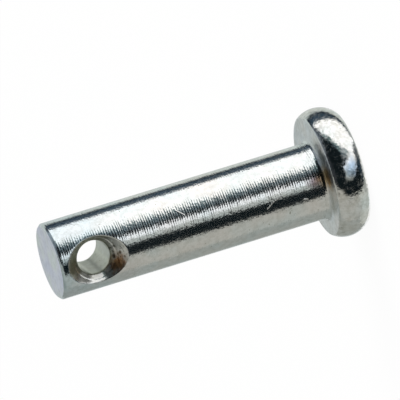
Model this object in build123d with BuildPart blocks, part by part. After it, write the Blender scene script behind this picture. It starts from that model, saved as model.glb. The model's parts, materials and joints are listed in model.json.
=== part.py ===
from build123d import *
import os

# A headed clevis pin: a plain round shank with a flat, barrel-rimmed head at one end and, near the
# other, a cross hole for a split pin, countersunk at both mouths. It is one piece of steel.
#
# Frame: the flat top of the head lies on Z = 0, where the pin stands, and the shank rises along +Z
# to its free end. The origin is on the shank's axis. The cross hole runs along Y. Millimetres.

# --- Shank ------------------------------------------------------------------------------------
shank_diameter = 4.70
shank_length = 17.10  # from the bearing face under the head to the free end
end_chamfer = 0.14
neck_fillet = 0.35  # where the shank meets the head

# --- Head -------------------------------------------------------------------------------------
head_diameter = 7.94  # at the rim's widest, half way up it
head_height = 2.07
top_setback = 0.46  # how far the rim turns in, from its widest to the flat top
face_setback = 0.32  # and from its widest to the bearing face
top_edge_radius = 0.10
face_edge_radius = 0.20
head_offset = 0.23  # an upset head seldom lands exactly on its shank's axis

# --- Cross hole -------------------------------------------------------------------------------
hole_diameter = 2.08
hole_to_end = 2.33  # from the hole's axis to the free end
sink_diameter = 3.77  # a mouth of the countersink, measured along the shank's crest
sink_angle = 82

# --- Worked out from the sizes above ----------------------------------------------------------
shank_radius = shank_diameter / 2
rim_radius = head_diameter / 2
free_end = head_height + shank_length
hole_height = free_end - hole_to_end
head_axis = Axis((head_offset, 0, 0), (0, 0, 1))

with BuildPart() as clevis_pin:
    # Head: half its section, from the flat top on Z = 0 to the bearing face, with a barrelled rim.
    with BuildSketch(Plane(origin=(head_offset, 0, 0), x_dir=(1, 0, 0), z_dir=(0, -1, 0))):
        with BuildLine():
            top = Line((0, 0), (rim_radius - top_setback, 0))
            rim = ThreePointArc(
                top @ 1,
                (rim_radius, head_height / 2),
                (rim_radius - face_setback, head_height),
            )
            Polyline(rim @ 1, (0, head_height), (0, 0))
        make_face()
    revolve(axis=head_axis)

    rim_edges = clevis_pin.edges().filter_by(GeomType.CIRCLE).sort_by(Axis.Z)
    fillet(rim_edges[0], radius=top_edge_radius)
    fillet(rim_edges[-1], radius=face_edge_radius)

    # Shank: a plain round bar from the bearing face to the free end.
    with BuildSketch(Plane.XY.offset(head_height)):
        Circle(shank_radius)
    extrude(amount=shank_length)

    circles = clevis_pin.edges().filter_by(GeomType.CIRCLE)
    neck = circles.filter_by_position(Axis.Z, head_height, head_height).sort_by(SortBy.RADIUS)[0]
    fillet(neck, radius=neck_fillet)
    chamfer(clevis_pin.edges().sort_by(Axis.Z)[-1], length=end_chamfer)

    # Cross hole: drilled through along Y and countersunk from both sides of the shank. Each
    # countersink starts on the plane that touches the shank's crest.
    mouths = [
        Plane(origin=(0, side * shank_radius, hole_height), x_dir=(1, 0, 0), z_dir=(0, side, 0))
        for side in (-1, 1)
    ]
    with Locations(*mouths):
        CounterSinkHole(hole_diameter / 2, sink_diameter / 2, counter_sink_angle=sink_angle)

clevis_pin.part.label = "clevis_pin"

os.makedirs("parts", exist_ok=True)
export_step(clevis_pin.part, "parts/clevis_pin.step")
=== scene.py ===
# %% [markdown]
# # A zinc plated clevis pin
# A clevis pin is a plain steel rod with a head at one end and a cross hole near the other, where a
# split pin keeps it in its fork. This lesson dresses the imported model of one: it loads the model as
# a fixed frame, models the pin again with a finer mesh, gives each surface the finish that its own
# making left, and stands it among cards on a pale floor. Lengths are metres, as in the frame.

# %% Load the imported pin
import json
import math

import bpy
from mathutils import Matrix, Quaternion, Vector, noise


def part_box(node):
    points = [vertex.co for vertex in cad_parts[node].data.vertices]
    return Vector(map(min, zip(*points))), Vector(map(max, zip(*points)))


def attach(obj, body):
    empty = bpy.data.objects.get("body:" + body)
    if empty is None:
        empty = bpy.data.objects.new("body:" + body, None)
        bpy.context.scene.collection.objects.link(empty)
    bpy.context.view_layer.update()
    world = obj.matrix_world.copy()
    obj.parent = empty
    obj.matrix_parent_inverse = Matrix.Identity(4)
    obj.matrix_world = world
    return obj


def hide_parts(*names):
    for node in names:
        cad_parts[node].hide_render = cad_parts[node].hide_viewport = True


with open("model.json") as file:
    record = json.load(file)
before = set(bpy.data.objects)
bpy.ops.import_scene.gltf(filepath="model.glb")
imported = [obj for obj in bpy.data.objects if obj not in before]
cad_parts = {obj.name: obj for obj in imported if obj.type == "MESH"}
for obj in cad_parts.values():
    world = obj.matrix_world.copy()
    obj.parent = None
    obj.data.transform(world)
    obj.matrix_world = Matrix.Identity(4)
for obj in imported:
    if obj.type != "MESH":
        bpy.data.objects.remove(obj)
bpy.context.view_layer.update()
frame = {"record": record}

# %% [markdown]
# ## Sizes
# The sizes that the pin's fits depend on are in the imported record, as mounts, and the head's come
# from the model's box: an upset head is wider than the shank and here sits a little off its axis.
# Only small radii, which no mount gives, are written down here.

# %% Read the sizes
MM = 0.001
RIM_BULGE = 0.002 * MM  # the rim is widest just off its middle, by this much

mounts = {mount["name"]: mount for mount in frame["record"]["mounts"]}
lowest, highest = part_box("clevis_pin")

shank_radius = mounts["shank"]["dims"]["r_mm"] * MM
bore_radius = mounts["split_pin_hole"]["dims"]["r_mm"] * MM
hole_height = mounts["split_pin_hole"]["pos_m"][2]
head_height = mounts["under_head"]["pos_m"][2]
free_end = highest.z
rim_radius = (highest.y - lowest.y) / 2 - RIM_BULGE
head_offset = (highest.x + lowest.x) / 2

top_setback = 0.46 * MM
face_setback = 0.32 * MM
top_edge_radius = 0.10 * MM
face_edge_radius = 0.20 * MM
neck_fillet = 0.35 * MM
end_chamfer = 0.14 * MM
sink_radius = 1.885 * MM  # on the plane that touches the shank's crest
sink_half_angle = math.radians(41)

print(f"shank {2 * shank_radius / MM:.2f} mm, head {2 * rim_radius / MM:.2f} mm, "
      f"free end at {free_end / MM:.2f} mm, cross hole {2 * bore_radius / MM:.2f} mm")

# %% [markdown]
# ## Camera
# A long lens from far away, a little above the level of the pin's middle, and turned so that the
# standing pin lies across the view with its free end at the left.

# %% Place the camera
CAMERA_AZIMUTH = math.radians(20.27)
CAMERA_HEIGHT = math.radians(13.87)
CAMERA_ROLL = math.radians(-107.05)
FIELD = 23.797 * MM
LENS = 1500
SENSOR = 36
AIM_BELOW_END = 9.888 * MM
AIM_ASIDE = 0.91 * MM

to_camera = Vector((math.sin(CAMERA_AZIMUTH), -math.cos(CAMERA_AZIMUTH), 0))
beside = to_camera.cross(Vector((0, 0, 1)))
back = to_camera * math.cos(CAMERA_HEIGHT) + Vector((0, 0, 1)) * math.sin(CAMERA_HEIGHT)
aim = Vector((0, 0, free_end - AIM_BELOW_END)) - beside * AIM_ASIDE

camera_data = bpy.data.cameras.new("camera")
camera = bpy.data.objects.new("camera", camera_data)
bpy.context.scene.collection.objects.link(camera)
bpy.context.scene.camera = camera
camera_data.lens = LENS
camera_data.sensor_width = SENSOR
distance = FIELD * LENS / SENSOR
camera.location = aim + back * distance
camera.rotation_mode = "QUATERNION"
camera.rotation_quaternion = back.to_track_quat("Z", "Y") @ Quaternion((0, 0, 1), CAMERA_ROLL)
camera_data.clip_start = distance / 10
camera_data.clip_end = distance * 10
print(f"camera {distance:.3f} m away, field {FIELD / MM:.1f} mm")

# %% [markdown]
# ## Half an outline
# On the real pin every surface but the cross hole is round about one axis: the rod is turned and
# the head is upset, or pressed, from its end. So the natural start is half of the section, drawn
# once and spun. Blender's own way to draw it is to extrude one vertex from point to point. The
# head's rim is one long arc, and the arcs at its two edges have to be tangent to it and to the flat
# faces, so their centres are worked out and not guessed.

# %% Arcs and corners for an outline
def arc(centre, start, end, steps):
    """Points from start to end round centre, the shorter way. Both ends are included."""
    first, last = Vector(start) - Vector(centre), Vector(end) - Vector(centre)
    turn = first.angle_signed(last)
    radius = first.length
    heading = math.atan2(first.y, first.x)
    return [
        Vector(centre) + radius * Vector((math.cos(angle), math.sin(angle)))
        for angle in (heading - turn * step / steps for step in range(steps + 1))
    ]


def rounded_corner(before, corner, after, radius, steps):
    """The arc that replaces a corner between two straight runs."""
    back, on = (Vector(before) - corner).normalized(), (Vector(after) - corner).normalized()
    half = back.angle(on) / 2
    centre = corner + (back + on).normalized() * radius / math.sin(half)
    reach = radius / math.tan(half)
    return arc(centre, corner + back * reach, corner + on * reach, steps)


def centre_of_circle(a, b, c):
    """The centre of the circle through three points."""
    rows = [(2 * (p - a), p.length_squared - a.length_squared) for p in (b, c)]
    (first, first_sum), (second, second_sum) = rows
    area = first.x * second.y - first.y * second.x
    return Vector((
        (first_sum * second.y - second_sum * first.y) / area,
        (first.x * second_sum - second.x * first_sum) / area,
    ))


# %% The arcs of the rim
rim_top = Vector((rim_radius - top_setback, 0))
rim_waist = Vector((rim_radius, head_height / 2))
rim_foot = Vector((rim_radius - face_setback, head_height))
rim_centre = centre_of_circle(rim_top, rim_waist, rim_foot)
rim_curve = (rim_waist - rim_centre).length


def rim_edge(radius, height, inward):
    """Centre of an edge arc inside the rim's own arc, and where it meets the flat and the rim."""
    level = height + inward * radius
    reach = math.sqrt((rim_curve - radius) ** 2 - (level - rim_centre.y) ** 2)
    centre = Vector((rim_centre.x + reach, level))
    on_rim = rim_centre + (centre - rim_centre).normalized() * rim_curve
    return centre, Vector((centre.x, height)), on_rim


top_arc, top_flat, top_rim = rim_edge(top_edge_radius, 0, 1)
face_arc, face_flat, face_rim = rim_edge(face_edge_radius, head_height, -1)
print(f"the rim's own arc has a radius of {rim_curve / MM:.2f} mm")

# %% Draw the outline, as (distance from the axis, height)
PATCH_HALF = 2.10 * MM  # half the height of the patch of wall that each mouth is let into
PATCH_RINGS = 48
SHANK_RING = 0.5 * MM
EDGE_BREAK = 0.025 * MM
patch_low = hole_height - PATCH_HALF
patch_high = hole_height + PATCH_HALF

neck = Vector((shank_radius, head_height))
end_corner = Vector((shank_radius, free_end - end_chamfer))
end_rim = Vector((shank_radius - end_chamfer, free_end))

outline = [Vector((0, 0)), Vector((rim_radius / 2, 0))]
outline += arc(top_arc, top_flat, top_rim, steps=6)
outline += arc(rim_centre, top_rim, face_rim, steps=26)[1:]
outline += arc(face_arc, face_rim, face_flat, steps=8)[1:]
head_points = len(outline)
outline += rounded_corner(face_flat, neck, end_corner, neck_fillet, steps=6)
plain_low = outline[-1].y
plain_run = patch_low - plain_low
plain_steps = round(plain_run / SHANK_RING)
outline += [
    Vector((shank_radius, plain_low + plain_run * step / plain_steps))
    for step in range(1, plain_steps)
]
outline += [
    Vector((shank_radius, patch_low + 2 * PATCH_HALF * step / PATCH_RINGS))
    for step in range(PATCH_RINGS + 1)
]
outline += rounded_corner(neck, end_corner, end_rim, EDGE_BREAK, steps=3)
outline += rounded_corner(end_corner, end_rim, Vector((0, free_end)), EDGE_BREAK, steps=3)
outline += [Vector((shank_radius / 2, free_end)), Vector((0, free_end))]
print(len(outline), "points in the outline,", head_points, "of them on the head")

# %% [markdown]
# ## Spin the pin
# A circle collapsed to one vertex is the pencil. Each extrude draws one run of the outline, and one
# spin of the whole line about Z gives the pin. The two ends of the line lie on the axis, so they
# come out as a pile of vertices in each flat's middle, and merging them closes the flats.

# %% Draw and spin
SPIN_STEPS = 192
TOUCHING = 0.001 * MM  # vertices nearer than this are one
MARGIN = 0.01 * MM


def select_vertices(piece, wanted):
    """In edit mode, selects the vertices whose place passes the test, and nothing else."""
    bpy.ops.mesh.select_all(action="DESELECT")
    bpy.ops.object.mode_set(mode="OBJECT")
    for vertex in piece.data.vertices:
        vertex.select = wanted(vertex.co)
    bpy.ops.object.mode_set(mode="EDIT")


bpy.ops.object.select_all(action="DESELECT")
bpy.ops.mesh.primitive_circle_add(vertices=3, radius=MM, location=(0, 0, 0), enter_editmode=True)
pin = bpy.context.object
pin.name = "zinc_plated_pin"
pin.data.name = "zinc_plated_pin"
bpy.ops.mesh.select_mode(type="VERT")
bpy.ops.mesh.select_all(action="SELECT")
bpy.ops.mesh.merge(type="CENTER")
for here, there in zip(outline, outline[1:]):
    run = there - here
    bpy.ops.mesh.extrude_region_move(TRANSFORM_OT_translate={"value": (run.x, 0, run.y)})
bpy.ops.mesh.select_all(action="SELECT")
bpy.ops.mesh.spin(steps=SPIN_STEPS, angle=math.tau, center=(0, 0, 0), axis=(0, 0, 1))
bpy.ops.mesh.select_all(action="SELECT")
bpy.ops.mesh.remove_doubles(threshold=TOUCHING)
bpy.ops.mesh.normals_make_consistent(inside=False)

neck_reach = shank_radius + neck_fillet + MARGIN
below_neck = head_height - neck_fillet / 10
select_vertices(pin, lambda co: co.z < below_neck or math.hypot(co.x, co.y) > neck_reach)
bpy.ops.transform.translate(value=(head_offset, 0, 0))
bpy.ops.object.mode_set(mode="OBJECT")
print("spun pin:", len(pin.data.vertices), "vertices,", len(pin.data.polygons), "faces")

# %% [markdown]
# ## The cross hole
# The hole is drilled through the shank and countersunk from both sides. A Boolean would cut it, but
# it leaves long thin faces in a polished round wall, and they show as creases in its reflections.
# Here a patch of wall is taken out on each side, and its open edge is extruded inwards ring by
# ring: over the wall to the mouth, round the mouth's worn lip, down the countersink and through the
# bore to the middle. Each vertex keeps its direction seen along the hole, so every ring lands where
# a formula says, and the rings of the two sides meet half way.

# %% Shape of a mouth
LIP = 0.05 * MM  # how far the worn lip reaches on each side of the sharp edge
slope = math.tan(sink_half_angle)
sink_floor = shank_radius - (sink_radius - bore_radius) / slope


def mouth_reach(direction):
    """How far from the hole's axis the countersink meets the round wall, in that direction."""
    across = math.cos(direction)
    depth = shank_radius - sink_radius / slope
    a = 1 / slope ** 2 + across ** 2
    b = 2 * depth / slope
    c = depth ** 2 - shank_radius ** 2
    return (-b + math.sqrt(b * b - 4 * a * c)) / (2 * a)


def on_wall(reach, direction):
    """How far from the shank's middle plane the round wall is, at that reach and direction."""
    return math.sqrt(shank_radius ** 2 - (reach * math.cos(direction)) ** 2)


def on_sink(reach):
    """How far from the shank's middle plane the countersink is, at that reach."""
    return shank_radius - (sink_radius - reach) / slope


print(f"countersink down to {(shank_radius - sink_floor) / MM:.2f} mm below the crest")

# %% Rings of a mouth
WALL_RINGS = 4
LIP_RINGS = 5
SINK_RINGS = 10
BORE_RINGS = 10


def wall_ring(rings_left):
    """A ring on the wall, one of those that share the way left from here to the lip."""
    def place(direction, here):
        reach = here + (mouth_reach(direction) + LIP - here) / rings_left
        return reach, on_wall(reach, direction)
    return place


def lip_ring(share):
    """A ring on the lip: a curve from the wall to the countersink that rounds off the sharp edge."""
    def place(direction, here):
        sharp = mouth_reach(direction)
        outer = Vector((sharp + LIP, on_wall(sharp + LIP, direction)))
        corner = Vector((sharp, on_sink(sharp)))
        inner = Vector((sharp - LIP, on_sink(sharp - LIP)))
        point = outer * (1 - share) ** 2 + corner * 2 * share * (1 - share) + inner * share ** 2
        return point.x, point.y
    return place


def sink_ring(share):
    """A ring on the countersink, that share of the way from the lip to the bore's edge."""
    def place(direction, here):
        outer = mouth_reach(direction) - LIP
        reach = outer + (bore_radius + EDGE_BREAK - outer) * share
        return reach, on_sink(reach)
    return place


def bore_ring(share):
    """A ring on the bore's wall, that share of the way from its edge to the shank's middle."""
    def place(direction, here):
        return bore_radius, (sink_floor - EDGE_BREAK) * (1 - share)
    return place


rings = [wall_ring(left) for left in range(WALL_RINGS, 0, -1)]
rings += [lip_ring(step / LIP_RINGS) for step in range(1, LIP_RINGS + 1)]
rings += [sink_ring(step / SINK_RINGS) for step in range(1, SINK_RINGS + 1)]
rings += [bore_ring(step / BORE_RINGS) for step in range(BORE_RINGS + 1)]
print(len(rings), "rings from the wall to the middle of the bore")

# %% Let the mouths into the shank
PATCH_TURN_STEPS = 26  # of the spin, from the middle of the patch to each of its sides
patch_half_turn = math.tau * PATCH_TURN_STEPS / SPIN_STEPS


def open_edges(mesh):
    """The keys of the edges that only one face uses."""
    uses = {}
    for face in mesh.polygons:
        for key in face.edge_keys:
            uses[key] = uses.get(key, 0) + 1
    return {key for key, count in uses.items() if count == 1}


def sink_a_mouth(piece, side):
    """Takes out the patch on that side of Y, and extrudes its edge to the shank's middle."""
    bpy.ops.object.mode_set(mode="EDIT")
    bpy.ops.mesh.select_mode(type="FACE")
    bpy.ops.mesh.select_all(action="DESELECT")
    bpy.ops.object.mode_set(mode="OBJECT")
    for face in piece.data.polygons:
        turn = math.atan2(face.center.x, side * face.center.y)
        face.select = abs(turn) < patch_half_turn and patch_low < face.center.z < patch_high
    bpy.ops.object.mode_set(mode="EDIT")
    bpy.ops.mesh.delete(type="FACE")
    bpy.ops.mesh.select_mode(type="EDGE")
    bpy.ops.mesh.select_all(action="DESELECT")
    bpy.ops.object.mode_set(mode="OBJECT")
    patch_edge = open_edges(piece.data)
    for edge in piece.data.edges:
        outwards = side * piece.data.vertices[edge.vertices[0]].co.y
        edge.select = edge.key in patch_edge and outwards > bore_radius
    for ring in rings:
        bpy.ops.object.mode_set(mode="EDIT")
        bpy.ops.mesh.extrude_region_move()
        bpy.ops.object.mode_set(mode="OBJECT")
        for vertex in piece.data.vertices:
            if vertex.select:
                across, rise = vertex.co.x, vertex.co.z - hole_height
                direction = math.atan2(rise, across)
                reach, depth = ring(direction, math.hypot(across, rise))
                vertex.co.x = reach * math.cos(direction)
                vertex.co.y = side * depth
                vertex.co.z = hole_height + reach * math.sin(direction)


for side in (-1, 1):
    sink_a_mouth(pin, side)

bpy.ops.object.mode_set(mode="EDIT")
bpy.ops.mesh.select_mode(type="VERT")
select_vertices(pin, lambda co: abs(co.y) < EDGE_BREAK and co.z < patch_high)
bpy.ops.mesh.remove_doubles(threshold=TOUCHING)
bpy.ops.mesh.select_all(action="SELECT")
bpy.ops.mesh.normals_make_consistent(inside=False)
bpy.ops.object.mode_set(mode="OBJECT")
print("pin with its hole:", len(pin.data.polygons), "faces,", len(open_edges(pin.data)), "open edges")

# %% [markdown]
# ## The upset rim
# The shank was turned, so it is truly round. The head's rim was never cut: the metal flowed
# outwards between two dies until it stopped by itself, and so it is very slightly wavy. A polished
# surface shows that in the edges of its reflections long before it shows in the outline. Some
# microns of smooth noise, taken inwards only, keep the rim inside its true size.

# %% Make the rim wavy
WAVE = 1.3 * MM
WAVE_DEPTH = 0.010 * MM
SHARP_FROM = math.radians(30)  # edges that turn by more than this stay sharp to the eye

pin.data.update()
for vertex in pin.data.vertices:
    from_head_axis = math.hypot(vertex.co.x - head_offset, vertex.co.y)
    on_rim = from_head_axis > rim_radius - top_setback and vertex.co.z < head_height
    if on_rim:
        height = (noise.noise(vertex.co / WAVE) - 1) / 2
        vertex.co += vertex.normal * height * WAVE_DEPTH
bpy.ops.object.shade_smooth_by_angle(angle=SHARP_FROM)
print("rim waves up to", WAVE_DEPTH / MM, "mm deep")

# %% [markdown]
# ## Zinc plate
# The steel shows through none of its plating, so all of the pin is one metal to the eye: bright
# zinc under a clear passivate, a film so thin that it tints what it reflects, faintly blue in one
# place and faintly straw in the next. What changes from surface to surface is how the steel below
# was made, because a plate this thin copies it: turned on the shank, pressed on the head, cropped
# on the free end and drilled in the cross hole. One function therefore makes the metal, and each
# surface gives it its own roughness and relief. The patterns read Object coordinates, so they stay
# where they are on the pin, and their scales are sizes in millimetres.

# %% Nodes and colours
def linear(colour):
    """An sRGB hex colour as the linear values that a socket takes."""
    parts = [int(colour[place:place + 2], 16) / 255 for place in (0, 2, 4)]
    return [*(x / 12.92 if x <= 0.04045 else ((x + 0.055) / 1.055) ** 2.4 for x in parts), 1]


def add_node(tree, kind, inputs=(), stops=(), **settings):
    """Adds a node. An input is a value, a socket, or a node for its first output. Stops are a
    colour ramp's (position, hex colour)."""
    node = tree.nodes.new("ShaderNode" + kind)
    for name, value in settings.items():
        setattr(node, name, value)
    for name, value in dict(inputs).items():
        if isinstance(value, bpy.types.Node):
            value = value.outputs[0]
        if isinstance(value, bpy.types.NodeSocket):
            tree.links.new(value, node.inputs[name])
        else:
            node.inputs[name].default_value = value
    for _ in stops[2:]:
        node.color_ramp.elements.new(0.5)
    for index, (position, colour) in enumerate(stops):
        node.color_ramp.elements[index].position = position
        node.color_ramp.elements[index].color = linear(colour)
    return node


def new_material(name):
    """A material with an empty tree and its output node."""
    material = bpy.data.materials.new(name)
    material.use_nodes = True
    material.node_tree.nodes.clear()
    return material, material.node_tree, add_node(material.node_tree, "OutputMaterial")


# %% [markdown]
# ## What all its surfaces share
# Three patterns lie over all of the plate. The film is slow noise between three tints. Specks are
# faster noise: the slight dulling that plated parts get by tumbling against each other in the
# barrel. Pits are the few highest peaks of a third noise, where the plate is grey. Each one
# filters the colour below it, which is what a Mix node does when it multiplies. Under all of that
# lies the plate's own grain, a very shallow bump. The crystals of a real plate are far finer than
# a tenth of a millimetre, so the grain is drawn coarser, just enough for it to roughen the edges
# of what the metal reflects.

# %% The plate
FILM_WAVE = 1.6 * MM
SPECK_WAVE = 0.28 * MM
PIT_WAVE = 0.22 * MM
GRAIN_WAVE = 0.15 * MM
GRAIN_DEPTH = 0.003 * MM
# A Mix node for colours has its factor at input 0, the colours at inputs 6 and 7, and its result
# at output 2.
FILTER = {"data_type": "RGBA", "blend_type": "MULTIPLY"}


def new_metal(name, roughness, tints, mottle):
    """Zinc plate. tints are its film's colours, and mottle is the colour of its dullest specks."""
    material, tree, output = new_material(name)
    place = add_node(tree, "TexCoord").outputs["Object"]
    slow = add_node(tree, "TexNoise", {"Vector": place, "Scale": 1 / FILM_WAVE, "Detail": 1})
    film = add_node(tree, "ValToRGB", {0: slow}, list(zip((0.3, 0.5, 0.7), tints)))
    fast = add_node(tree, "TexNoise", {"Vector": place, "Scale": 1 / SPECK_WAVE, "Detail": 3})
    specks = add_node(tree, "ValToRGB", {0: fast}, [(0.35, mottle), (0.6, "ffffff")])
    peaks = add_node(tree, "TexNoise", {"Vector": place, "Scale": 1 / PIT_WAVE, "Detail": 2})
    pits = add_node(tree, "ValToRGB", {0: peaks}, [(0.69, "ffffff"), (0.75, "c4c4bc")])
    colour = add_node(tree, "Mix", {0: 1.0, 6: film, 7: specks}, **FILTER).outputs[2]
    colour = add_node(tree, "Mix", {0: 1.0, 6: colour, 7: pits}, **FILTER).outputs[2]
    shader = add_node(tree, "BsdfPrincipled", {"Metallic": 1.0, "Roughness": roughness})
    tree.links.new(shader.outputs["BSDF"], output.inputs["Surface"])
    return material, tree, place, colour, shader


def finish_metal(tree, place, shader, colour, *reliefs, grain):
    """Links the colour, and the reliefs one on another with the grain last. A relief is
    (height, depth), and grain is how many times deeper than the plate's own it lies."""
    tree.links.new(colour, shader.inputs["Base Color"])
    fine = add_node(tree, "TexNoise", {"Vector": place, "Scale": 1 / GRAIN_WAVE, "Detail": 2})
    normal = {}
    for height, depth in (*reliefs, (fine, grain * GRAIN_DEPTH)):
        bump = add_node(tree, "Bump", {
            "Height": height, "Distance": depth, "Strength": 1.0, **normal,
        })
        normal = {"Normal": bump}
    tree.links.new(bump.outputs["Normal"], shader.inputs["Normal"])


# %% [markdown]
# ## Stains, painted shade and scratches
# The pin has been handled. A stain is the distance from a point, made ragged by noise and faded
# out with a Map Range node, and it filters the colour as the film does. The same patch also paints
# shade by the neck, on the shank and on the face under the head. A scratch is a hairline: the
# distance from a straight stroke. It is duller than the plate beside it, and its burr stands a little
# proud. A real one is a hundredth of a millimetre wide and shows only by the light that it scatters,
# so it is drawn far wider.

# %% Stains, painted shade and scratches
SCRATCH_WIDTH = 0.10 * MM
SCRATCH_BURR = 0.012 * MM
SCRATCH_ROUGHNESS = 0.4
# A stain is whole up to the first of these shares of its reach, and gone from the second. The
# noise, which adds half a reach on the whole, is counted in.
STAIN_HEART = 0.7
STAIN_EDGE = 1.5
FADE = {"To Min": 1.0, "To Max": 0.0}  # of a Map Range node: 1 at its From Min, 0 at its From Max


def stain_or_painted_shade(tree, place, colour, hue, centre, reach, wave):
    """The colour filtered by a hue near the centre, and left alone beyond the reach."""
    away = add_node(tree, "VectorMath", {0: place, 1: centre}, operation="DISTANCE")
    uneven = add_node(tree, "TexNoise", {"Vector": place, "Scale": 1 / wave, "Detail": 2})
    ragged = add_node(
        tree, "Math", {0: uneven, 1: reach, 2: away.outputs["Value"]}, operation="MULTIPLY_ADD")
    share = add_node(tree, "MapRange", {
        "Value": ragged, "From Min": reach * STAIN_HEART, "From Max": reach * STAIN_EDGE, **FADE,
    }, interpolation_type="SMOOTHSTEP")
    return add_node(tree, "Mix", {0: share, 6: colour, 7: hue}, **FILTER).outputs[2]


def scratch(tree, place, shader, *strokes):
    """Dulls the shader along straight strokes, each between two points in mm. Returns their mask."""
    most = 0.0
    for start, end in strokes:
        start, run = Vector(start) * MM, (Vector(end) - Vector(start)) * MM
        offset = add_node(tree, "VectorMath", {0: place, 1: start}, operation="SUBTRACT")
        along = add_node(
            tree, "VectorMath", {0: offset, 1: run / run.length_squared}, operation="DOT_PRODUCT")
        share = add_node(tree, "Clamp", {"Value": along.outputs["Value"]})
        nearest = add_node(tree, "VectorMath", {0: run, "Scale": share}, operation="SCALE")
        away = add_node(tree, "VectorMath", {0: offset, 1: nearest}, operation="DISTANCE")
        mask = add_node(tree, "MapRange", {
            "Value": away.outputs["Value"], "From Min": 0, "From Max": SCRATCH_WIDTH / 2, **FADE,
        }, interpolation_type="SMOOTHSTEP")
        most = add_node(tree, "Math", {0: most, 1: mask}, operation="MAXIMUM")
    roughness = shader.inputs["Roughness"]
    polished = roughness.links[0].from_socket if roughness.is_linked else roughness.default_value
    dull = add_node(tree, "MapRange", {"Value": most, "To Min": polished, "To Max": SCRATCH_ROUGHNESS})
    tree.links.new(dull.outputs["Result"], roughness)
    return most


# %% [markdown]
# ## The turned shank
# A lathe tool leaves one fine groove that winds round the shank, and its depth changes as the chip
# tears off. On a polished cylinder each lamp would be a straight band. The groove throws each band
# a little way up and down the pin, and so gives it an edge like a comb. A wave texture, in bands
# across the axis, makes the groove. Noise that is drawn out eight times round the shank makes its
# depth uneven, adds streaks that the tool tore, and the slower chatter of the bar against the tool.
# All of it is microns deep and never shows in the outline, so it is bump. A real feed is about
# 0.05 mm to the turn, too fine to show in the render, so it is drawn three times coarser.

# %% Turned shank: its grooves
FEED = 0.15 * MM  # the tool's advance in one turn
FEED_DEPTH = 0.0092 * MM
STREAK_DEPTH = 0.009 * MM
CHATTER_DEPTH = 0.02 * MM
DRAWN_OUT = 8  # how much longer the streaks are round the shank than along it
WAVE_TEXTURE_PERIOD = math.tau / 20  # of Blender's wave bands, at scale 1
# In the stretched coordinates, where a period is one turn of the tool. The comments are real sizes.
UNEVEN_WAVE = 0.7  # 0.33 mm
STREAK_WAVE = 0.3  # 0.14 mm
CHATTER_WAVE = 1.3  # 0.62 mm

# Turned and polished zinc: nearly a mirror, with soft edges to what it shows.
turned, tree, place, colour, shader = new_metal(
    "zinc_on_turned_steel", roughness=0.16, tints=("eef5f6", "f4f5f3", "f5f2ef"), mottle="efefed")
stretch = WAVE_TEXTURE_PERIOD / FEED
along = add_node(tree, "Mapping", {
    "Vector": place, "Scale": (stretch / DRAWN_OUT, stretch / DRAWN_OUT, stretch),
})
groove = add_node(tree, "TexWave", {
    "Vector": along, "Scale": 1.0, "Distortion": 3.0, "Detail": 1.0, "Detail Scale": 1.0,
}, wave_type="BANDS", bands_direction="Z", wave_profile="SIN").outputs["Fac"]
uneven = add_node(tree, "TexNoise", {"Vector": along, "Scale": 1 / UNEVEN_WAVE, "Detail": 1})
feed = add_node(tree, "Math", {0: groove, 1: uneven}, operation="MULTIPLY")
streaks = add_node(tree, "TexNoise", {"Vector": along, "Scale": 1 / STREAK_WAVE, "Detail": 2})
chatter = add_node(tree, "TexNoise", {"Vector": along, "Scale": 1 / CHATTER_WAVE, "Detail": 1})
print(f"{(free_end - head_height) / FEED:.0f} turns of the tool along the shank")

# %% [markdown]
# The film is bluer towards the free end. Where the shank runs into the head, the passivate
# collected before it dried and left an amber tide mark. Beside it, painted shade darkens the
# shank near the head. A few short scratches lie across the grooves.

# %% Turned shank: its stains, painted shade and scratches
AMBER = linear("ecd3a8")
NECK_PAINTED_SHADE = linear("a0949a")
BLUE_REACH = 6 * MM

blue_film = linear("ecf5fb")
height = add_node(tree, "SeparateXYZ", {"Vector": place}).outputs["Z"]
blue_share = add_node(tree, "MapRange", {
    "Value": height, "From Min": free_end, "From Max": free_end - BLUE_REACH, **FADE,
}, interpolation_type="SMOOTHSTEP")
colour = add_node(tree, "Mix", {0: blue_share, 6: colour, 7: blue_film}, **FILTER).outputs[2]
neck_tip = to_camera * (shank_radius + neck_fillet) + Vector((0, 0, head_height + 0.1 * MM))
beside_neck = to_camera * shank_radius + Vector((0, 0, head_height + 0.73 * MM))
colour = stain_or_painted_shade(tree, place, colour, AMBER, neck_tip, reach=1.0 * MM, wave=0.4 * MM)
# Painted shade: a darker patch on the shank just beside the head.
colour = stain_or_painted_shade(tree, place, colour, NECK_PAINTED_SHADE, beside_neck, reach=0.8 * MM, wave=0.4 * MM)
scratches = scratch(
    tree, place, shader,
    ((0.06, -2.35, 6.05), (0.40, -2.32, 5.52)),
    ((0.40, -2.32, 5.52), (0.54, -2.29, 4.96)),
    ((-1.33, -1.94, 4.66), (-0.82, -2.20, 4.39)),
    ((-0.03, -2.35, 3.70), (-0.08, -2.35, 3.51)),
    ((1.44, -1.85, 11.42), (1.13, -2.06, 11.05)),
)
finish_metal(
    tree, place, shader, colour, (feed, FEED_DEPTH), (streaks, STREAK_DEPTH),
    (chatter, CHATTER_DEPTH), (scratches, SCRATCH_BURR), grain=3.5)
print("shank:", len(tree.nodes), "nodes")

# %% [markdown]
# ## The pressed head
# The head was upset cold between hard dies and never cut, so it has no grooves. The metal copied
# the polish of the dies, and kept shallow dimples where the dies were worn. It is the brightest
# surface of the pin, and the dimples break the edges of its reflections into little bays. Between
# the dimples the plate is hazy in specks, where the acid bath bit it before plating: a noise
# carries the roughness of those specks, and they scatter a little light into the dark reflections.
# One spot of the film on the rim is thick enough to be blue.

# %% Pressed head
DIMPLE_WAVE = 0.5 * MM
DIMPLE_DEPTH = 0.02 * MM
HAZE_WAVE = 0.25 * MM  # wider than the real specks, which would be too fine to be seen
POLISHED = 0.11
HAZY = 0.25

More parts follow.
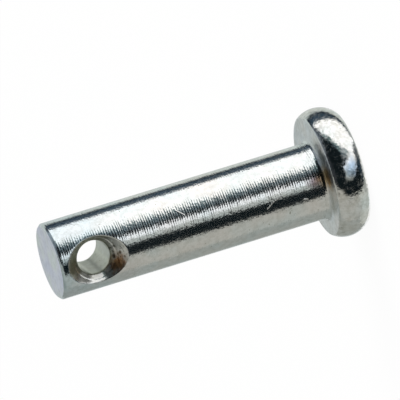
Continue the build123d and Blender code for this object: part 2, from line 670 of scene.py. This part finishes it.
# Die-polished zinc: the sharpest mirror on the pin, with hazy specks in it.
pressed, tree, place, colour, shader = new_metal(
    "zinc_on_pressed_steel", roughness=POLISHED, tints=("eff5f6", "f4f4f2", "f5f3ee"), mottle="e6e6e3")
colour = stain_or_painted_shade(tree, place, colour, AMBER, neck_tip, reach=1.0 * MM, wave=0.4 * MM)
blue_spot = Vector((1.45, -3.75, 0.85)) * MM
colour = stain_or_painted_shade(tree, place, colour, linear("c6daf2"), blue_spot, reach=0.8 * MM, wave=0.5 * MM)
dimples = add_node(tree, "TexNoise", {"Vector": place, "Scale": 1 / DIMPLE_WAVE, "Detail": 2})
bitten = add_node(tree, "TexNoise", {"Vector": place, "Scale": 1 / HAZE_WAVE, "Detail": 3})
haze = add_node(tree, "MapRange", {
    "Value": bitten, "From Min": 0.48, "From Max": 0.62, "To Min": POLISHED, "To Max": HAZY,
})
tree.links.new(haze.outputs["Result"], shader.inputs["Roughness"])
scratches = scratch(tree, place, shader, ((-3.03, -2.27, 1.16), (-2.26, -3.06, 0.82)))
finish_metal(
    tree, place, shader, colour, (dimples, DIMPLE_DEPTH), (scratches, SCRATCH_BURR), grain=3)
print("head:", len(tree.nodes), "nodes")

# %% [markdown]
# ## The struck face
# The flat under the head bears on the fork. It was struck square by the face of a die, which had
# the matt texture of a tool dressed on a grinding wheel. It shows light and shade but no picture
# of the room. Painted shade darkens it in the corner next to the shank.

# %% Struck face under the head
# Satin zinc: pale and even, with the shank's reflection lost in it.
struck, tree, place, colour, shader = new_metal(
    "zinc_on_struck_steel", roughness=0.38, tints=("eaeef0", "ecedeb", "efece8"), mottle="ececea")
# Painted shade: a darker patch on the face, in its corner next to the shank.
painted_shade_spot = Vector((2.1 * MM, -2.1 * MM, head_height))
colour = stain_or_painted_shade(tree, place, colour, linear("b0b0a8"), painted_shade_spot, reach=0.8 * MM, wave=0.4 * MM)
colour = stain_or_painted_shade(tree, place, colour, AMBER, neck_tip, reach=1.0 * MM, wave=0.4 * MM)
finish_metal(tree, place, shader, colour, grain=2)
print("struck face:", len(tree.nodes), "nodes")

# %% [markdown]
# ## The cropped end
# The free end was cropped from the bar and faced, then tumbled smooth. The passivate is thickest
# on it and gives it a cool cast between violet and blue, without a mirror's contrast.

# %% Cropped end
# Tumbled zinc: dull, smooth and bluish.
cropped, tree, place, colour, shader = new_metal(
    "zinc_on_cropped_steel", roughness=0.36, tints=("e6e8f8", "eeeff8", "eef4f0"), mottle="f2f2f2")
finish_metal(tree, place, shader, colour, grain=1)
print("cropped end:", len(tree.nodes), "nodes")

# %% [markdown]
# ## The drilled hole
# A countersink chatters in a small hole, and leaves a few shallow flutes round the cone. A gradient
# texture set to Radial turns once round the Y axis after a Mapping node has laid it over, and a
# sine of it gives the flutes. A shallow step rings the bore, where the drill broke through. The
# bore, and a tenth of a millimetre of the cone round it, are a shade darker.

# %% Drilled hole: flutes and step
FLUTES = 9
FLUTE_START = 1.9  # radians, where round the cone the first one lies
FLUTE_DEPTH = 0.013 * MM
STEP_DEPTH = 0.015 * MM
STEP_INNER = 0.22 * MM  # beyond the bore's edge, as the next two are
STEP_OUTER = 0.3 * MM
BORE_SHADE = 0.1 * MM

# Drilled zinc: satin, warmer and darker than the shank.
drilled, tree, place, colour, shader = new_metal(
    "zinc_on_drilled_steel", roughness=0.30, tints=("f4f7f2", "f7f7f4", "f8f6f0"), mottle="f2f2ee")
laid_over = add_node(tree, "Mapping", {
    "Vector": place, "Rotation": (-math.pi / 2, 0, 0), "Location": (0, -hole_height, 0),
})
turn = add_node(tree, "TexGradient", {"Vector": laid_over}, gradient_type="RADIAL").outputs["Fac"]
turn = add_node(
    tree, "Math", {0: turn, 1: FLUTES * math.tau, 2: FLUTE_START}, operation="MULTIPLY_ADD")
flutes = add_node(tree, "Math", {0: turn}, operation="SINE")
offset = add_node(tree, "VectorMath", {0: place, 1: (0, 0, hole_height)}, operation="SUBTRACT")
crosswise = add_node(tree, "VectorMath", {0: offset, 1: (1, 0, 1)}, operation="MULTIPLY")
from_drill = add_node(tree, "VectorMath", {0: crosswise}, operation="LENGTH").outputs["Value"]
step = add_node(tree, "MapRange", {
    "Value": from_drill,
    "From Min": bore_radius + STEP_INNER, "From Max": bore_radius + STEP_OUTER, **FADE,
}, interpolation_type="SMOOTHSTEP")
deep = add_node(tree, "MapRange", {
    "Value": from_drill, "From Min": bore_radius, "From Max": bore_radius + BORE_SHADE, **FADE,
}, interpolation_type="SMOOTHSTEP")
colour = add_node(tree, "Mix", {0: deep, 6: colour, 7: linear("d8d9d2")}, **FILTER).outputs[2]
print(FLUTES, "flutes round the countersink")

# %% [markdown]
# The side of the mouth that faces the head has had a hard life. The drill burnt its oil there and
# left a brown patch with sooty lines across it, and dust sticks to what is left of the oil. Soot
# and dust are noise, and the patch itself is one more stain that shows it.

# %% Drilled hole: burnt oil and dust
SOOT_WAVE = 0.12 * MM
SOOT_LENGTH = 6  # how much longer a sooty line is than wide
DUST_WAVE = 0.2 * MM
RIPPLE_WAVE = 0.4 * MM
RIPPLE_DEPTH = 0.01 * MM
CHIPS = (((0.43, -1.73, 15.57), 0.14), ((-0.24, -1.57, 15.65), 0.2))  # (place, reach), in mm

sink_middle = Vector((0, -on_sink(1.4 * MM), hole_height))
oily = sink_middle + Vector((0, 0, 1.5 * MM))
burnt = sink_middle - Vector((0.7 * MM, 0, 1.3 * MM))
dusty = sink_middle + Vector((0.1 * MM, 0, -1.5 * MM))

lines = add_node(tree, "Mapping", {"Vector": place, "Scale": (1 / SOOT_LENGTH, 1 / SOOT_LENGTH, 1)})
sooty = add_node(tree, "TexNoise", {"Vector": lines, "Scale": 1 / SOOT_WAVE, "Detail": 2})
soot = add_node(tree, "ValToRGB", {0: sooty}, [(0.48, "ffffff"), (0.58, "b4a090")]).outputs[0]
specky = add_node(tree, "TexNoise", {"Vector": place, "Scale": 1 / DUST_WAVE, "Detail": 3})
dust = add_node(tree, "ValToRGB", {0: specky}, [(0.50, "ffffff"), (0.62, "8c887e")]).outputs[0]
colour = stain_or_painted_shade(tree, place, colour, linear("e0dccc"), oily, reach=1.1 * MM, wave=0.4 * MM)
colour = stain_or_painted_shade(tree, place, colour, linear("cda078"), burnt, reach=0.9 * MM, wave=0.3 * MM)
colour = stain_or_painted_shade(tree, place, colour, soot, burnt, reach=0.9 * MM, wave=0.3 * MM)
colour = stain_or_painted_shade(tree, place, colour, dust, dusty, reach=1.0 * MM, wave=0.3 * MM)
for chip, reach in CHIPS:
    colour = stain_or_painted_shade(
        tree, place, colour, linear("606058"), Vector(chip) * MM, reach=reach * MM, wave=0.1 * MM)
ripple = add_node(tree, "TexNoise", {"Vector": place, "Scale": 1 / RIPPLE_WAVE, "Detail": 2})
finish_metal(
    tree, place, shader, colour, (step, STEP_DEPTH), (flutes, FLUTE_DEPTH),
    (ripple, RIPPLE_DEPTH), grain=0.5)
print("hole:", len(tree.nodes), "nodes")

# %% [markdown]
# ## Which face has which finish
# The pin is one mesh, so its finishes are slots of the same mesh, and each face gets one by where
# its middle is: by height for the head, the struck face and the free end, and by its distance
# from the hole's axis for the countersink and the bore. Then the piece rides on the only body, and
# the imported pin is hidden.

# %% Give each surface its finish
POLISH_ENDS = 0.04 * MM  # below the flat under the head
FINISHES = [turned, pressed, struck, cropped, drilled]
pin.data.materials.clear()
for finish in FINISHES:
    pin.data.materials.append(finish)
for face in pin.data.polygons:
    centre = face.center
    in_shank = math.hypot(centre.x, centre.y) < shank_radius - EDGE_BREAK
    in_hole = in_shank and math.hypot(centre.x, centre.z - hole_height) < sink_radius
    if centre.z < head_height - POLISH_ENDS:
        finish = pressed
    elif centre.z < head_height + neck_fillet / 3:
        finish = struck
    elif centre.z > free_end - EDGE_BREAK:
        finish = cropped
    else:
        finish = drilled if in_hole else turned
    face.material_index = FINISHES.index(finish)
for index, finish in enumerate(FINISHES):
    print(finish.name, "on", sum(face.material_index == index for face in pin.data.polygons), "faces")

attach(pin, "root")
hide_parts("clevis_pin")

# %% [markdown]
# ## Floor and world
# The pin stands on pale paper in a white room. What the camera sees of them directly, and what
# metal or glass would show, is white at strength 1, by the Light Path node. Everything else gets
# the plain light of a pale sky and one soft lamp, so nothing is lit more than it would be in a
# room, and the paper keeps a faint shadow under the head.

# %% White to the eye, plain to the light
scene = bpy.context.scene
scene.view_settings.view_transform = "Standard"


def seen_directly(tree):
    """1 for a ray from the camera, or one that a metal or glass surface sends on."""
    rays = add_node(tree, "LightPath")
    either = add_node(tree, "Math", {
        0: rays.outputs["Is Camera Ray"], 1: rays.outputs["Is Glossy Ray"],
    }, operation="MAXIMUM")
    return add_node(tree, "Math", {
        0: either, 1: rays.outputs["Is Transmission Ray"],
    }, operation="MAXIMUM")


world = bpy.data.worlds.new("studio")
scene.world = world
world.use_nodes = True
tree = world.node_tree
tree.nodes.clear()
sky = add_node(tree, "Background", {"Color": linear("f2f2f2"), "Strength": 0.8})
white = add_node(tree, "Background", {"Color": linear("ffffff"), "Strength": 1.0})
either = add_node(tree, "MixShader", {0: seen_directly(tree), 1: sky, 2: white})
add_node(tree, "OutputWorld", {"Surface": either})

# %% The paper floor
WHITENESS = 0.94  # how much of the paper's own shading the white hides, so that a shadow still shows

bpy.ops.object.select_all(action="DESELECT")
bpy.ops.mesh.primitive_grid_add(x_subdivisions=8, y_subdivisions=8, size=4, location=(0, 0, 0))
floor = bpy.context.object
floor.name = "floor"
# Matt paper: white, and dull enough to hold a soft shadow.
paper, tree, output = new_material("pale_paper")
matt = add_node(tree, "BsdfDiffuse", {"Color": linear("f4f4f2")})
bright = add_node(tree, "Emission", {"Color": linear("ffffff"), "Strength": 1.0})
share = add_node(tree, "Math", {0: seen_directly(tree), 1: WHITENESS}, operation="MULTIPLY")
both = add_node(tree, "MixShader", {0: share, 1: matt, 2: bright})
tree.links.new(both.outputs[0], output.inputs["Surface"])
floor.data.materials.append(paper)
floor.visible_glossy = False

# %% The lamp
KEY_HEADING = math.radians(-80)
KEY_REACH = 0.4  # metres, both level and upwards

key_data = bpy.data.lights.new("key", "AREA")
key_data.size = 0.3
key_data.energy = 1.7
key = bpy.data.objects.new("key", key_data)
scene.collection.objects.link(key)
key_side = to_camera * math.cos(KEY_HEADING) + beside * math.sin(KEY_HEADING)
key.location = key_side * KEY_REACH + Vector((0, 0, KEY_REACH))
key.rotation_mode = "QUATERNION"
key.rotation_quaternion = key.location.to_track_quat("Z", "Y")
key.visible_glossy = False
print(f"lamp {key.location.length:.2f} m away, {key_data.energy} W")

# %% [markdown]
# ## Cards
# Polished metal has no look of its own: it shows what stands round it. So a photographer lights it
# with cards, white ones where it should shine and black ones where it should have an edge, and
# most of the work is in where one card ends and the next begins. These are bent round the pin a
# metre away, each given by its height and its two sides in degrees, seen from the pin and counted
# from the camera. Only glossy rays see them, so they take nothing from the floor and the lamp.
# A standing cylinder shows a card at the same heading all along its length: the card's sides become
# the straight edges of a band. The head's rim curves both ways, so it shows all of a card's shape.
# A card farther out than the rest lies behind them, and fills what they leave open.

# %% A card round the pin
CARD_DISTANCE = 1.0
CARD_STEPS = 12
NEARER = 0.98
BEHIND = 1.02
FARTHEST = 1.04


def add_card(name, low, high, colour, strength=1.0, distance=CARD_DISTANCE):
    """A card bent round the pin. low and high are (height, left side, right side) in degrees."""
    bpy.ops.object.select_all(action="DESELECT")
    bpy.ops.mesh.primitive_grid_add(
        x_subdivisions=CARD_STEPS, y_subdivisions=CARD_STEPS, size=2, location=(0, 0, 0))
    card = bpy.context.object
    card.name = name
    for vertex in card.data.vertices:
        across, up = (vertex.co.x + 1) / 2, (vertex.co.y + 1) / 2
        height, left, right = (math.radians(a + (b - a) * up) for a, b in zip(low, high))
        heading = left + (right - left) * across
        level = to_camera * math.cos(heading) + beside * math.sin(heading)
        outwards = level * math.cos(height) + Vector((0, 0, math.sin(height)))
        vertex.co = Vector((0, 0, free_end / 2)) + distance * outwards
    material, tree, output = new_material(name)
    glow = add_node(tree, "Emission", {"Color": linear(colour), "Strength": strength})
    tree.links.new(glow.outputs[0], output.inputs["Surface"])
    material.cycles.emission_sampling = "NONE"
    card.data.materials.append(material)
    card.visible_camera = False
    card.visible_diffuse = False
    card.visible_shadow = False
    card.visible_transmission = False


# %% [markdown]
# The main light is a tall soft box at the left, and its far side leans over, which draws the
# crescent on the rim. Its light falls off beside it in two steps, dusk and slate. A window stands
# behind the camera, with a dim curtain beside it: it makes the second band of the shank and the
# hook in the crescent. Paper lies in front of the pin.

# %% Soft box, window and paper
add_card("soft_box", (-15, -101, -39), (24, -107, -82), "ffffff", 1.2)
add_card("soft_box_low", (-24, -105, -35), (-15, -101, -42), "ffffff", 1.2)
add_card("soft_box_foot", (-70, -125, -26), (-24, -105, -35), "ffffff", 1.2)
add_card("dusk_card", (-15, -39, -30), (24, -82, -74), "889e9c")
add_card("slate_card", (-15, -30, -19), (24, -74, -64), "526168")
add_card("slate_low", (-24, -35, -20), (-15, -42, -19), "5e6c74")
add_card("slate_foot", (-42, -30, -24), (-24, -35, -20), "8a989c")
add_card("front_paper", (-70, -38, -3), (-42, -40, 18), "e8eef4")
add_card("window", (-42, -22, 5), (-1, -1, 3), "f4f8fc", 1.15, NEARER)
add_card("curtain", (-42, 5, 16), (-1, 3, 19), "b6bcba", 1.0, NEARER)

# %% [markdown]
# The room behind the camera is dark, and darkest in front of the pin, which makes the black bands
# between the bright ones. A narrow strip of navy and blue stands beyond the soft box and gives the
# top edge of the shank its cold line. Overhead the room turns from pale to dark.

# %% Dark room
add_card("black_cloth", (-90, -138, 76), (60, -138, 60), "12191c", 1.0, FARTHEST)
add_card("navy_strip", (-70, -134.5, -127), (40, -134.5, -118), "262f38", 1.0, BEHIND)
add_card("blue_strip", (-70, -127, -98), (40, -118, -98), "3a4955", 1.0, BEHIND)
add_card("dusk_top", (24, -118, -74), (38, -118, -68), "485058")
add_card("pale_canopy", (38, -134.5, -88), (90, -134.5, -88), "98a0a8")
add_card("grey_canopy", (38, -88, -50), (90, -88, -50), "6c747c")
add_card("dark_canopy", (44, -50, 60), (90, -50, 60), "34373b")
add_card("grey_foot", (-90, -134.5, -40), (-70, -134.5, -40), "565c60")
add_card("dark_foot", (-90, -40, 105), (-70, -40, 80), "2a363e", 1.0, BEHIND)

# %% [markdown]
# Pale walls stand at the back and along the right side. They give the even grey of the shank's
# lower side, of the face under the head and of the free end. The ground in front of the right
# wall catches more light than the wall does.

# %% Pale walls
add_card("grey_wall_left", (-90, -166, -134.5), (90, -166, -134.5), "ccd2ce")
add_card("grey_wall_back", (-20, 160, 194), (90, 160, 194), "c2c8c8")
add_card("grey_wall_front", (-38, 56, 102), (0, 51, 102), "aeaea8")
add_card("grey_wall_high", (0, 51, 102), (90, 20, 102), "acaca6")
add_card("grey_wall_right", (-26, 102, 160), (90, 102, 160), "999d99")
add_card("grey_wall_foot", (-38, 102, 150), (-26, 102, 158), "bcbfb9")
add_card("pale_ground", (-62, 70, 130), (-38, 56, 150), "bcbfb9")
add_card("grey_ground", (-90, 100, 120), (-62, 70, 130), "a0a4a0")
